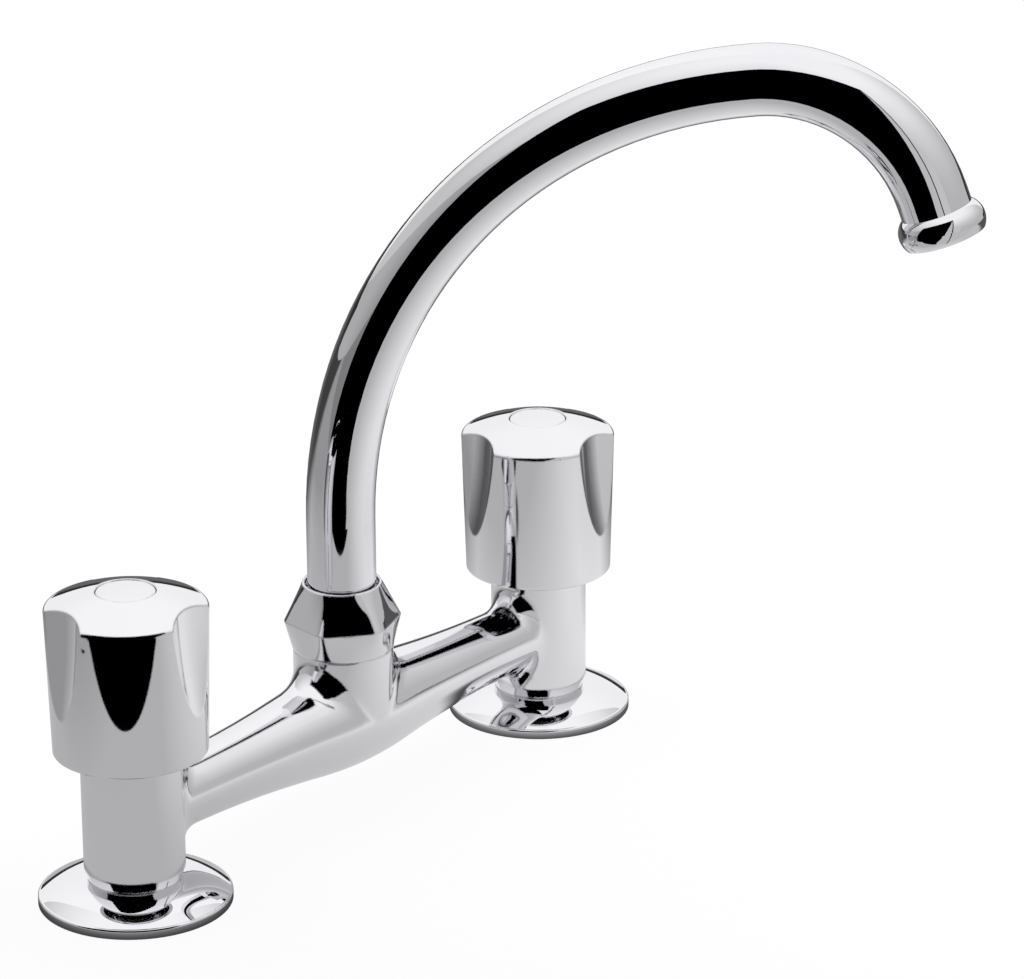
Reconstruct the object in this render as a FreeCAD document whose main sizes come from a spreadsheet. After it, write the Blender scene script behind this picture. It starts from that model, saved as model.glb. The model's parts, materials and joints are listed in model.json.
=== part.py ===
import FreeCAD, Part
import Sketcher
import math
import os

from FreeCAD import Placement, Rotation, Vector

# Two-handle deck-mounted bridge tap with a swivel swan-neck spout.
# Frame: X runs through the two legs, -Y is the user's side, +Z is up.
# The origin lies midway between the legs, on the deck that the flanges stand on.

SIZES = {
    # where it stands
    "centres": 200.0,
    "deck_gap": 20.0,
    # cast bridge body: legs, arms and the boss that carries the spout
    "leg_radius": 16.0,
    "leg_top": 56.0,
    "foot_bevel": 1.2,
    "foot_bevel_rise": 3.6,
    "arm_height": 29.2,
    "arm_radius": 11.2,
    "belly_run_out": 1.0,
    "belly_share": 0.24,
    "boss_radius": 16.3,
    "belly_over": 0.15,
    "boss_top": 53.8,
    "neck_radius": 12.6,
    "neck_rise": 12.0,
    "leg_fillet": 8.0,
    "boss_fillet": 10.4,
    # waterways in the casting
    "waterway_radius": 5.6,
    "well_radius": 8.0,
    "well_floor": 20.0,
    "neck_bore": 9.5,
    "neck_bore_depth": 14.0,
    "chamber_radius": 9.6,
    "seat_radius": 5.0,
    "seat_height": 23.0,
    "seat_web": 3.5,
    "bonnet_thread_depth": 14.0,
    # threaded supply tails
    "thread_radius": 10.48,
    "tail_bore": 7.0,
    "tail_end": 62.0,
    "tail_bevel": 1.0,
    "relief_width": 1.5,
    "relief_depth": 0.9,
    # deck flanges
    "flange_radius": 30.6,
    "rim_height": 3.1,
    "seat_width": 4.7,
    "rim_round": 0.8,
    "dome_height": 8.1,
    "dome_curve": 30.0,
    "flange_wall": 2.6,
    "collar_radius": 14.2,
    "seal_width": 3.6,
    # clamping set under the deck
    "washer_radius": 22.0,
    "rubber_thickness": 3.0,
    "washer_thickness": 2.0,
    "nut_flats": 32.0,
    "nut_thickness": 8.0,
    "chamfer_drop": 1.4,
    "chamfer_inset": 0.2,
    # faceted spout nut
    "cap_foot_radius": 16.5,
    "cap_corner_radius": 19.1,
    "cap_corner_round": 5.0,
    "cap_corner_height": 63.5,
    "cap_top_radius": 12.8,
    "cap_top": 76.0,
    "cap_lip": 0.7,
    "cap_mouth": 2.4,
    "cap_turn": 20.5,
    "cap_shoulder": 71.2,
    # spout
    "tube_radius": 11.15,
    "tube_wall": 1.2,
    "rise_end": 98.0,
    "first_curve": 156.0,
    "first_sweep": 82.0,
    "second_curve": 51.2,
    "second_sweep": 78.0,
    "spout_end": 4.4,
    "spout_turn": -65.0,
    # spout spigot
    "spigot_bore": 6.2,
    "spigot_collar_radius": 12.2,
    "spigot_collar_height": 3.0,
    "spigot_drop": 13.0,
    "spigot_plug": 9.0,
    "ring_section": 0.95,
    "ring_squeeze": 0.03,
    "ring_first": 3.2,
    "ring_spacing": 5.0,
    # nozzle
    "nozzle_radius": 13.8,
    "nozzle_widest": 5.2,
    "nozzle_length": 9.1,
    "nozzle_lip": 12.6,
    "nozzle_spigot": 3.0,
    "nozzle_spigot_gap": 0.2,
    "nozzle_wall": 1.4,
    "aerator_radius": 11.5,
    "aerator_seat": 3.4,
    "aerator_washer": 1.0,
    "aerator_wall": 2.0,
    "aerator_web": 1.6,
    "aerator_inset": 0.6,
    "screen_thickness": 0.8,
    "screen_hole": 0.8,
    "screen_pitch": 3.4,
    "screen_depth": 1.4,
    # handles
    "handle_foot_radius": 24.3,
    "handle_top_radius": 25.6,
    "handle_foot": 51.0,
    "handle_rim": 99.0,
    "handle_top": 103.8,
    "handle_round": 1.3,
    "handle_foot_round": 0.6,
    "crown_edge": 0.3,
    "handle_curve": 110.0,
    "handle_wall": 2.8,
    "handle_mouth_rise": 12.0,
    "handle_ceiling": 88.0,
    "handle_ceiling_wall": 8.0,
    "hot_handle_turn": 44.0,
    "cold_handle_turn": 38.4,
    "hub_radius": 8.0,
    "hub_foot": 81.6,
    "flute_radius": 26.0,
    "flute_foot": 66.3,
    "flute_depth": 5.6,
    "flute_curve": 250.0,
    "flute_run_in": 2.5,
    "flute_lead": 0.5,
    "button_radius": 9.3,
    "button_recess": 4.0,
    "button_gap": 0.25,
    "button_crown": 0.5,
    # valve headworks
    "hex_flats": 24.0,
    "hex_height": 6.0,
    "fibre_thickness": 1.0,
    "guide_radius": 7.6,
    "guide_top": 79.0,
    "bonnet_foot": 39.0,
    "plunger_flats": 13.0,
    "plunger_slot_top": 53.0,
    "collar_slot_top": 56.6,
    "spindle_radius": 4.5,
    "spindle_collar_radius": 6.2,
    "spindle_thread": 3.8,
    "spindle_foot": 36.2,
    "spindle_top": 92.0,
    "spline_radius": 4.0,
    "spline_depth": 0.35,
    "screw_radius": 2.0,
    "screw_head_radius": 4.2,
    "screw_head_height": 2.6,
    "screw_socket_radius": 1.7,
    "screw_length": 14.0,
    "spindle_ring_section": 0.7,
    "circlip_radius": 6.4,
    "circlip_thickness": 0.9,
    "circlip_opening": 25.0,
    "circlip_bite": 0.9,
    # plunger
    "plunger_disc_radius": 7.2,
    "plunger_disc": 3.0,
    "plunger_top": 46.0,
    "seat_washer_radius": 7.0,
    "seat_washer_thickness": 3.0,
    "washer_screw_radius": 3.2,
    "washer_screw_head": 1.4,
    "washer_screw_grip": 3.0,
    # small edges and clearances
    "edge_break": 0.4,
    "running": 0.08,
    "thread_gap": 0.02,
    "part_line": 0.2,
}

SPLINE_TEETH = 16
FLUTES = 3
SCREEN_RINGS = 2
SIDES = (("hot", -0.5), ("cold", 0.5))


class Size:
    """A number together with the sheet expression that drives it."""

    def __init__(self, value, text):
        self.value = float(value)
        self.text = text

    def __add__(self, other):
        other = as_size(other)
        return Size(self.value + other.value, f"({self.text} + {other.text})")

    def __radd__(self, other):
        return as_size(other) + self

    def __sub__(self, other):
        other = as_size(other)
        return Size(self.value - other.value, f"({self.text} - {other.text})")

    def __rsub__(self, other):
        return as_size(other) - self

    def __mul__(self, other):
        other = as_size(other)
        return Size(self.value * other.value, f"({self.text} * {other.text})")

    def __rmul__(self, other):
        return as_size(other) * self

    def __truediv__(self, other):
        other = as_size(other)
        return Size(self.value / other.value, f"({self.text} / {other.text})")

    def __rtruediv__(self, other):
        return as_size(other) / self

    def __neg__(self):
        return Size(-self.value, f"(0 - {self.text})")


def as_size(number):
    """A plain number as a Size."""
    if isinstance(number, Size):
        return number
    return Size(number, f"({float(number)!r})")


def cos_of(angle):
    """Cosine of an angle in degrees."""
    angle = as_size(angle)
    return Size(math.cos(math.radians(angle.value)), f"cos({angle.text})")


def sin_of(angle):
    """Sine of an angle in degrees."""
    angle = as_size(angle)
    return Size(math.sin(math.radians(angle.value)), f"sin({angle.text})")


doc = FreeCAD.newDocument("bridge_tap")
sheet = doc.addObject("Spreadsheet::Sheet", "Sizes")
for row, (alias, number) in enumerate(SIZES.items(), start=1):
    sheet.set(f"A{row}", alias)
    sheet.set(f"B{row}", str(number))
    sheet.setAlias(f"B{row}", alias)
doc.recompute()

parts = []


def size(name):
    """The named driving dimension."""
    return Size(SIZES[name], f"Sizes.{name}")


def bind(thing, path, number):
    """Drive one property of an object by a size."""
    thing.setExpression(path, as_size(number).text)


def move(thing, x=0.0, y=0.0, z=0.0, turn=0.0):
    """Place a sub-part, with its position and its turn about Z driven by sizes."""
    steps = [as_size(value) for value in (x, y, z)]
    where = Vector(*[step.value for step in steps])
    thing.Placement = Placement(where, Rotation(Vector(0, 0, 1), as_size(turn).value))
    for axis, step in zip("xyz", steps):
        bind(thing, f"Placement.Base.{axis}", step)
    if as_size(turn).value:
        bind(thing, "Placement.Rotation.Angle", turn)


def new_body(label, x=0.0, y=0.0, z=0.0, turn=0.0):
    """Start a sub-part and place it."""
    body = doc.addObject("PartDesign::Body", label)
    body.Label = label
    move(body, x, y, z, turn)
    parts.append(body)
    return body


def sketch_on(body, role, name, at=(0.0, 0.0, 0.0), turn=0.0):
    """A sketch on one of the body's own origin planes, shifted and turned in that plane."""
    sketch = body.newObject("Sketcher::SketchObject", name)
    plane = [item for item in body.Origin.OriginFeatures if item.Role == role][0]
    sketch.AttachmentSupport = [(plane, "")]
    sketch.MapMode = "FlatFace"
    steps = [as_size(value) for value in at]
    turn = as_size(turn)
    where = Vector(*[step.value for step in steps])
    sketch.AttachmentOffset = Placement(where, Rotation(Vector(0, 0, 1), turn.value))
    for axis, step in zip("xyz", steps):
        if step.value or "Sizes" in step.text:
            bind(sketch, f"AttachmentOffset.Base.{axis}", step)
    if "Sizes" in turn.text:
        bind(sketch, "AttachmentOffset.Rotation.Angle", turn)
    return sketch


def dimension(sketch, kind, *where_and_number):
    """Add one dimension to a sketch and drive it by its size."""
    number = as_size(where_and_number[-1])
    constraint = Sketcher.Constraint(kind, *where_and_number[:-1], number.value)
    index = sketch.addConstraint(constraint)
    if "Sizes" in number.text:
        bind(sketch, f"Constraints[{index}]", number)


def arc_through(start, end, radius):
    """The shorter arc between two points; a positive radius keeps its centre on the left."""
    middle = (start + end) * 0.5
    chord = end - start
    half = chord.Length / 2
    left = Vector(-chord.y, chord.x, 0).normalize()
    offset = math.sqrt(max(radius * radius - half * half, 0.0))
    centre = middle + left * (offset if radius > 0 else -offset)
    first, last = (start, end) if radius > 0 else (end, start)
    begin = math.atan2(first.y - centre.y, first.x - centre.x)
    finish = math.atan2(last.y - centre.y, last.x - centre.x)
    circle = Part.Circle(centre, Vector(0, 0, 1), abs(radius))
    return Part.ArcOfCircle(circle, begin, finish)


def outline(sketch, points, closed=True):
    """Draw a chain of lines and arcs through (x, y) or (x, y, arc radius to the next point)."""
    points = [tuple(as_size(value) for value in point) for point in points]
    ends = []
    spans = len(points) if closed else len(points) - 1
    for index in range(spans):
        here = points[index]
        there = points[(index + 1) % len(points)]
        start = Vector(here[0].value, here[1].value, 0)
        end = Vector(there[0].value, there[1].value, 0)
        if len(here) == 3:
            edge = sketch.addGeometry(arc_through(start, end, here[2].value), False)
            forward = here[2].value > 0
            ends.append((edge, 1 if forward else 2, 2 if forward else 1))
            radius = here[2] if forward else -here[2]
            dimension(sketch, "Radius", edge, radius)
        else:
            edge = sketch.addGeometry(Part.LineSegment(start, end), False)
            ends.append((edge, 1, 2))
    for index in range(spans):
        edge, first, last = ends[index]
        if closed or index < spans - 1:
            after = ends[(index + 1) % spans]
            sketch.addConstraint(Sketcher.Constraint("Coincident", edge, last, after[0], after[1]))
        dimension(sketch, "DistanceX", edge, first, points[index][0])
        dimension(sketch, "DistanceY", edge, first, points[index][1])
    if not closed:
        edge, _, last = ends[-1]
        dimension(sketch, "DistanceX", edge, last, points[-1][0])
        dimension(sketch, "DistanceY", edge, last, points[-1][1])


def circle(sketch, radius, x=0.0, y=0.0):
    """Draw a dimensioned circle."""
    radius = as_size(radius)
    x = as_size(x)
    y = as_size(y)
    shape = Part.Circle(Vector(x.value, y.value, 0), Vector(0, 0, 1), radius.value)
    edge = sketch.addGeometry(shape, False)
    dimension(sketch, "DistanceX", edge, 3, x)
    dimension(sketch, "DistanceY", edge, 3, y)
    dimension(sketch, "Radius", edge, radius)


def polygon(radius, sides, turn=0.0):
    """Corner points of a regular polygon."""
    angles = [as_size(turn) + 360.0 * step / sides for step in range(sides)]
    return [(radius * cos_of(angle), radius * sin_of(angle)) for angle in angles]


def pad(body, name, sketch, length):
    """Raise a sketch off its plane by a length."""
    feature = body.newObject("PartDesign::Pad", name)
    feature.Profile = sketch
    feature.Length = as_size(length).value
    bind(feature, "Length", length)
    return feature


def pocket(body, name, sketch, depth, upward=True):
    """Cut a sketch out of a body, upward from its plane or downward."""
    feature = body.newObject("PartDesign::Pocket", name)
    feature.Profile = sketch
    feature.Length = as_size(depth).value
    bind(feature, "Length", depth)
    feature.Reversed = upward
    return feature


def revolve(body, name, sketch, kind="PartDesign::Revolution", axis="V_Axis"):
    """Turn a sketch a full circle about one of its axes, to add or to cut."""
    feature = body.newObject(kind, name)
    feature.Profile = sketch
    feature.ReferenceAxis = (sketch, [axis])
    feature.Angle = 360.0
    return feature


def groove(body, name, sketch, axis="V_Axis"):
    """Cut a sketch turned about one of its axes out of a body."""
    return revolve(body, name, sketch, "PartDesign::Groove", axis)


def turned(label, points, x=0.0, z=0.0, turn=0.0):
    """A sub-part turned about Z from one half outline."""
    body = new_body(label, x=x, z=z, turn=turn)
    sketch = sketch_on(body, "XZ_Plane", f"{label}_outline")
    outline(sketch, points)
    revolve(body, f"{label}_turned", sketch)
    return body


def ring_points(inner, outer, low, high):
    """Half outline of a plain ring."""
    return [(inner, low), (outer, low), (outer, high), (inner, high)]


def pattern(body, name, features, axis_role, count):
    """Repeat features evenly about one of the body's own axes."""
    feature = body.newObject("PartDesign::PolarPattern", name)
    feature.Originals = features
    axis = [item for item in body.Origin.OriginFeatures if item.Role == axis_role][0]
    feature.Axis = (axis, [""])
    feature.Angle = 360.0
    feature.Occurrences = count
    body.Tip = feature
    return feature


def fillet_edges(body, name, base, radius, wanted):
    """Round the edges of the feature so far for which wanted(edge) holds."""
    doc.recompute()
    names = [
        f"Edge{number}"
        for number, edge in enumerate(base.Shape.Edges, start=1)
        if wanted(edge)
    ]
    feature = body.newObject("PartDesign::Fillet", name)
    feature.Base = (base, names)
    feature.Radius = as_size(radius).value
    bind(feature, "Radius", radius)
    return feature


leg_x = size("centres") / 2
neck_top = size("boss_top") + size("neck_rise")
tube_foot = neck_top + size("part_line") + size("spigot_collar_height")
tail_top = size("seat_height") - size("seat_web") - size("part_line")


def bridge_body():
    """The casting: two legs, the arms between them and the boss with its threaded neck."""
    arm = size("arm_height")
    body = new_body("bridge_body", z=arm)
    belly = size("boss_radius") + size("belly_over")
    thin = size("arm_radius")
    reach = leg_x - size("leg_radius") - size("belly_run_out")
    swell = belly - thin
    # two arcs that meet in a common tangent, the first taking its share of the reach
    share = size("belly_share")
    turn = reach * share
    level = belly - swell * share
    curves = (reach * reach + swell * swell) / (swell * 2)
    belly_curve = curves * share
    arm_curve = curves - belly_curve
    arms = sketch_on(body, "XZ_Plane", "arms_outline")
    outline(
        arms,
        [
            (-leg_x, 0.0),
            (-leg_x, -thin),
            (-reach, -thin, -arm_curve),
            (-turn, -level, belly_curve),
            (0.0, -belly, belly_curve),
            (turn, -level, -arm_curve),
            (reach, -thin),
            (leg_x, -thin),
            (leg_x, 0.0),
        ],
    )
    revolve(body, "arms", arms, axis="H_Axis")
    foot = size("dome_height") - arm
    for side, share in SIDES:
        seam_turn = 180.0 if share < 0 else 0.0
        # the start of each round is kept off the seam that the blend follows
        centre = size("centres") * share
        leg = sketch_on(
            body, "XY_Plane", f"{side}_leg_outline", at=(centre, 0.0, foot), turn=seam_turn
        )
        circle(leg, size("leg_radius"))
        pad(body, f"{side}_leg", leg, size("leg_top") - size("dome_height"))
    boss = sketch_on(body, "XY_Plane", "boss_outline", turn=90.0)
    circle(boss, size("boss_radius"))
    # the boss is raised past its face, so that the blend runs out there before it is faced off
    last = pad(body, "boss", boss, size("boss_top") + size("boss_fillet") - arm)
    last = fillet_edges(body, "leg_blend", last, size("leg_fillet"), is_leg_seam)
    last = fillet_edges(body, "boss_blend", last, size("boss_fillet"), is_boss_seam)
    face = sketch_on(body, "XY_Plane", "boss_face_outline", at=(0.0, 0.0, size("boss_top") - arm))
    circle(face, size("boss_radius") + size("boss_fillet"))
    pocket(body, "boss_face", face, size("boss_fillet"))
    neck = sketch_on(body, "XY_Plane", "neck_outline", at=(0.0, 0.0, size("boss_top") - arm))
    circle(neck, size("neck_radius"))
    pad(body, "neck", neck, size("neck_rise"))
    body_waterways(body, arm)
    return body


def is_leg_seam(edge):
    """Whether an edge is where an arm meets a leg."""
    if edge.Curve.TypeId in ("Part::GeomCircle", "Part::GeomLine"):
        return False
    return abs(edge.BoundBox.Center.x) > SIZES["centres"] / 4


def is_boss_seam(edge):
    """Whether an edge is where the boss meets the arms."""
    if edge.Curve.TypeId in ("Part::GeomCircle", "Part::GeomLine"):
        return False
    return abs(edge.BoundBox.Center.x) < SIZES["boss_radius"]


def body_waterways(body, arm):
    """Bores of the casting: sockets for tails and headworks, seats, and the way to the spout."""
    neck_end = neck_top - arm
    well = sketch_on(body, "XZ_Plane", "well_outline")
    shoulder = neck_end - size("neck_bore_depth")
    outline(
        well,
        [
            (0.0, size("well_floor") - arm),
            (size("well_radius"), size("well_floor") - arm),
            (size("well_radius"), shoulder),
            (size("neck_bore"), shoulder),
            (size("neck_bore"), neck_end),
            (0.0, neck_end),
        ],
    )
    groove(body, "well", well)
    seat_top = size("seat_height") - arm
    seat_foot = seat_top - size("seat_web")
    thread_floor = size("leg_top") - size("bonnet_thread_depth") - arm
    thread = size("thread_radius") + size("thread_gap")
    bevel = size("foot_bevel")
    leg = size("leg_radius")
    foot = size("dome_height") - arm
    for side, share in SIDES:
        centre = size("centres") * share
        bore = sketch_on(body, "XZ_Plane", f"{side}_bore_outline", at=(centre, 0.0, 0.0))
        outline(
            bore,
            [
                (0.0, foot),
                (thread, foot),
                (thread, seat_foot),
                (size("seat_radius"), seat_foot),
                (size("seat_radius"), seat_top),
                (size("chamber_radius"), seat_top),
                (size("chamber_radius"), thread_floor),
                (thread, thread_floor),
                (thread, size("leg_top") - arm),
                (0.0, size("leg_top") - arm),
            ],
        )
        groove(body, f"{side}_bore", bore)
        bevel_cut = sketch_on(body, "XZ_Plane", f"{side}_bevel_outline", at=(centre, 0.0, 0.0))
        outline(
            bevel_cut,
            [
                (leg - bevel, foot),
                (leg + size("leg_fillet"), foot),
                (leg + size("leg_fillet"), foot + size("foot_bevel_rise")),
                (leg, foot + size("foot_bevel_rise")),
            ],
        )
        groove(body, f"{side}_bevel", bevel_cut)
    way = sketch_on(body, "YZ_Plane", "waterway_outline", at=(0.0, 0.0, -leg_x))
    circle(way, size("waterway_radius"))
    pocket(body, "waterway", way, size("centres"))


def flange(side, x):
    """Domed cover flange that the leg stands on, hollow underneath, with a collar round the tail."""
    rim = size("rim_height")
    edge = size("rim_round")
    inner_edge = size("flange_radius") - size("seat_width")
    hole = size("thread_radius") + size("part_line")
    wall = size("flange_wall")
    dome = size("dome_height")
    seat = size("leg_radius") - size("foot_bevel")
    collar = size("collar_radius")
    turned(
        f"{side}_flange",
        [
            (hole, 0.0),
            (collar, 0.0),
            (collar, dome - wall),
            (seat, dome - wall),
            (inner_edge, rim - edge),
            (inner_edge, 0.0),
            (size("flange_radius"), 0.0),
            (size("flange_radius"), rim - edge, edge),
            (size("flange_radius") - edge, rim, size("dome_curve")),
            (seat, dome),
            (hole, dome),
        ],
        x=x,
    )


def flange_seal(side, x):
    """Flat rubber ring inside the flange's rim, level with the deck."""
    outer = size("flange_radius") - size("seat_width") - size("thread_gap")
    top = size("rim_height") - size("rim_round") - size("part_line")
    turned(
        f"{side}_flange_seal",
        ring_points(outer - size("seal_width"), outer, 0.0, top),
        x=x,
    )


def supply_tail(side, x):
    """Hollow threaded tail: screwed into the leg above, clamped under the deck, free end below."""
    thread = size("thread_radius")
    bore = size("tail_bore")
    bevel = size("tail_bevel")
    end = -size("tail_end")
    neck = thread - size("relief_depth")
    relief_top = -(size("deck_gap") + size("rubber_thickness") + size("washer_thickness"))
    relief_top = relief_top - size("nut_thickness") - size("part_line")
    relief_foot = relief_top - size("relief_width")
    turned(
        f"{side}_supply_tail",
        [
            (bore, end),
            (thread - bevel, end),
            (thread, end + bevel),
            (thread, relief_foot),
            (neck, relief_foot),
            (neck, relief_top),
            (thread, relief_top),
            (thread, tail_top - bevel),
            (thread - bevel, tail_top),
            (bore, tail_top),
        ],
        x=x,
    )


def clamping_set(side, x):
    """Rubber washer, metal washer and backnut that pull the leg down onto the deck."""
    hole = size("thread_radius") + size("part_line")
    under = -size("deck_gap")
    rubber_foot = under - size("rubber_thickness")
    washer_foot = rubber_foot - size("washer_thickness")
    nut_foot = washer_foot - size("nut_thickness")
    outer = size("washer_radius")
    turned(f"{side}_deck_washer", ring_points(hole, outer, rubber_foot, under), x=x)
    turned(f"{side}_clamp_washer", ring_points(hole, outer, washer_foot, rubber_foot), x=x)
    corner = size("nut_flats") / (cos_of(30.0) * 2)
    nut = new_body(f"{side}_backnut", x=x)
    hexagon = sketch_on(nut, "XY_Plane", f"{side}_backnut_outline", at=(0.0, 0.0, nut_foot))
    outline(hexagon, polygon(corner, 6))
    circle(hexagon, size("thread_radius") + size("thread_gap"))
    pad(nut, f"{side}_backnut_blank", hexagon, size("nut_thickness"))
    chamfer_ring(nut, f"{side}_backnut", corner, nut_foot, -1)
    return nut


def chamfer_ring(body, name, corner, face, way):
    """Turn the corners off one face of a hexagon; way is the side that the face looks to."""
    drop = size("chamfer_drop")
    start = corner * cos_of(30.0) - size("chamfer_inset")
    cut = sketch_on(body, "XZ_Plane", f"{name}_chamfer_outline")
    low, high = (face, face - way * drop)
    points = [(start, low), (corner + drop, low), (corner + drop, high), (corner, high)]
    if way > 0:
        points = points[::-1]
    outline(cut, points)
    return groove(body, f"{name}_chamfer", cut)


def spout_nut():
    """Faceted cap nut: lofted from a round foot to a soft-cornered hexagon and on to a round lip."""
    body = new_body("spout_nut")
    foot = size("boss_top") + size("part_line")
    corner = size("cap_corner_radius")
    rounding = size("cap_corner_round")
    flat = corner - rounding
    # each corner takes the same share of the round sections as of the hexagon's outline
    corner_arc = rounding * (math.pi / 3)
    spread = 30.0 * corner_arc / (corner_arc + flat)
    levels = (
        ("foot", foot, size("cap_foot_radius")),
        ("corner", size("cap_corner_height"), None),
        ("lip", size("cap_top"), size("cap_top_radius")),
    )
    sections = []
    for name, height, radius in levels:
        section = sketch_on(body, "XY_Plane", f"spout_nut_{name}", at=(0.0, 0.0, height))
        points = []
        for step in range(6):
            middle = size("cap_turn") + 60.0 * step
            if radius is None:
                x, y = flat * cos_of(middle), flat * sin_of(middle)
                for side, arc in ((-30.0, (rounding,)), (30.0, ())):
                    edge = middle + side
                    points.append((x + rounding * cos_of(edge), y + rounding * sin_of(edge), *arc))
            else:
                for edge in (middle - spread, middle + spread):
                    points.append((radius * cos_of(edge), radius * sin_of(edge), radius))
        outline(section, points)
        sections.append(section)
    loft = body.newObject("PartDesign::AdditiveLoft", "spout_nut_facets")
    loft.Profile = sections[0]
    loft.Sections = sections[1:]
    loft.Ruled = True
    bore = sketch_on(body, "XZ_Plane", "spout_nut_bore_outline")
    thread = size("neck_radius") + size("part_line") / 4
    top = size("cap_top")
    opening = size("tube_radius") + size("part_line") * 2
    mouth = size("cap_top_radius") - size("cap_lip")
    outline(
        bore,
        [
            (0.0, foot),
            (thread, foot),
            (thread, size("cap_shoulder")),
            (opening, size("cap_shoulder")),
            (opening, top - size("cap_mouth")),
            (mouth, top - size("cap_mouth") / 2),
            (mouth, top),
            (0.0, top),
        ],
    )
    groove(body, "spout_nut_bore", bore)
    return body


def bend_points():
    """Ends of the bends and of the straight end, out from the boss and up, and the whole sweep."""
    first = size("first_curve")
    second = size("second_curve")
    sweep = size("first_sweep")
    total = sweep + size("second_sweep")
    rise = size("rise_end")
    out_1 = first - first * cos_of(sweep)
    up_1 = rise + first * sin_of(sweep)
    out_2 = out_1 + second * cos_of(sweep) - second * cos_of(total)
    up_2 = up_1 - second * sin_of(sweep) + second * sin_of(total)
    end = size("spout_end")
    tip = (out_2 + end * sin_of(total), up_2 + end * cos_of(total))
    return (out_1, up_1), (out_2, up_2), tip, total


def spout_tube():
    """Swan-neck tube: an upright run, two bends and a short straight end, swept as an open tube."""
    body = new_body("spout_tube", turn=size("spout_turn"))
    bend_1, bend_2, tip, _ = bend_points()
    path = sketch_on(body, "XZ_Plane", "spout_path")
    outline(
        path,
        [
            (0.0, tube_foot),
            (0.0, size("rise_end"), -size("first_curve")),
            (bend_1[0], bend_1[1], -size("second_curve")),
            bend_2,
            tip,
        ],
        closed=False,
    )
    section = sketch_on(body, "XY_Plane", "spout_section", at=(0.0, 0.0, tube_foot))
    circle(section, size("tube_radius"))
    circle(section, size("tube_radius") - size("tube_wall"))
    pipe = body.newObject("PartDesign::AdditivePipe", "spout_sweep")
    pipe.Profile = section
    pipe.Spine = path
    return body


def spout_spigot():
    """Turned end of the spout: soldered in the tube, held by the nut, sealed in the neck."""
    bore = size("spigot_bore")
    plug = size("neck_bore") - size("running")
    collar = size("spigot_collar_radius")
    collar_foot = neck_top + size("part_line")
    low = neck_top - size("spigot_drop")
    inside = size("tube_radius") - size("tube_wall") - size("thread_gap")
    body = turned(
        "spout_spigot",
        [
            (bore, low),
            (plug - size("edge_break"), low),
            (plug, low + size("edge_break")),
            (plug, collar_foot),
            (collar, collar_foot),
            (collar, tube_foot),
            (inside, tube_foot),
            (inside, tube_foot + size("spigot_plug")),
            (bore, tube_foot + size("spigot_plug")),
        ],
    )
    section = size("ring_section")
    half = section + size("running")
    grooves = sketch_on(body, "XZ_Plane", "spout_spigot_groove_outline")
    for height in ring_heights():
        outline(grooves, ring_points(plug - section * 2, collar, height - half, height + half))
    groove(body, "spout_spigot_grooves", grooves)
    return body


def ring_heights():
    """Heights of the two sealing rings on the spigot."""
    first = neck_top - size("spigot_drop") + size("ring_first")
    return (first, first + size("ring_spacing"))


def spout_rings():
    """Two rubber sealing rings round the spigot, as one group."""
    section = size("ring_section")
    centre = size("neck_bore") - size("ring_squeeze") - section
    rings = [torus(f"spout_ring_{index}", centre, section, height)
             for index, height in enumerate(ring_heights(), start=1)]
    group = doc.addObject("Part::Compound", "spout_o_rings")
    group.Label = "spout_o_rings"
    group.Links = rings
    parts.append(group)
    return group


def torus(name, centre_radius, section, height, x=0.0):
    """A rubber ring of round section."""
    ring = doc.addObject("Part::Torus", name)
    ring.Label = name
    bind(ring, "Radius1", centre_radius)
    bind(ring, "Radius2", section)
    move(ring, x=x, z=height)
    return ring


def slip_ring():
    """Split plastic ring between the spigot's collar and the nut's shoulder."""
    turned(
        "spout_slip_ring",
        ring_points(
            size("tube_radius") + size("running"),
            size("spigot_collar_radius"),
            tube_foot,
            size("cap_shoulder") - size("running"),
        ),
    )


def nozzle_sketch(body, name):
    """A sketch whose Y axis runs out of the tube's end, along the flow."""
    *_, end, total = bend_points()
    # the flow leaves the bend turned by the whole sweep from straight up
    return sketch_on(body, "XZ_Plane", name, at=(end[0], end[1], 0.0), turn=-total)


def flow_sketch(body, name, distance):
    """A sketch square to the flow, at a distance past the tube's end."""
    *_, end, total = bend_points()
    sketch = sketch_on(body, "XY_Plane", name)
    x = end[0] + distance * sin_of(total)
    z = end[1] + distance * cos_of(total)
    tilt = Rotation(Vector(0, 1, 0), total.value)
    sketch.AttachmentOffset = Placement(Vector(x.value, 0, z.value), tilt)
    bind(sketch, "AttachmentOffset.Base.x", x)
    bind(sketch, "AttachmentOffset.Base.z", z)
    bind(sketch, "AttachmentOffset.Rotation.Angle", total)
    return sketch


def nozzle_ring(label, points):
    """A sub-part turned about the nozzle's axis."""
    body = new_body(label, turn=size("spout_turn"))
    sketch = nozzle_sketch(body, f"{label}_outline")
    outline(sketch, points)
    revolve(body, f"{label}_turned", sketch)
    return body


def dome_radius(reach, rise):
    """Radius of the arc that leaves a line square to it and rises by so much over a reach."""
    return (reach * reach + rise * rise) / (rise * 2)


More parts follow.
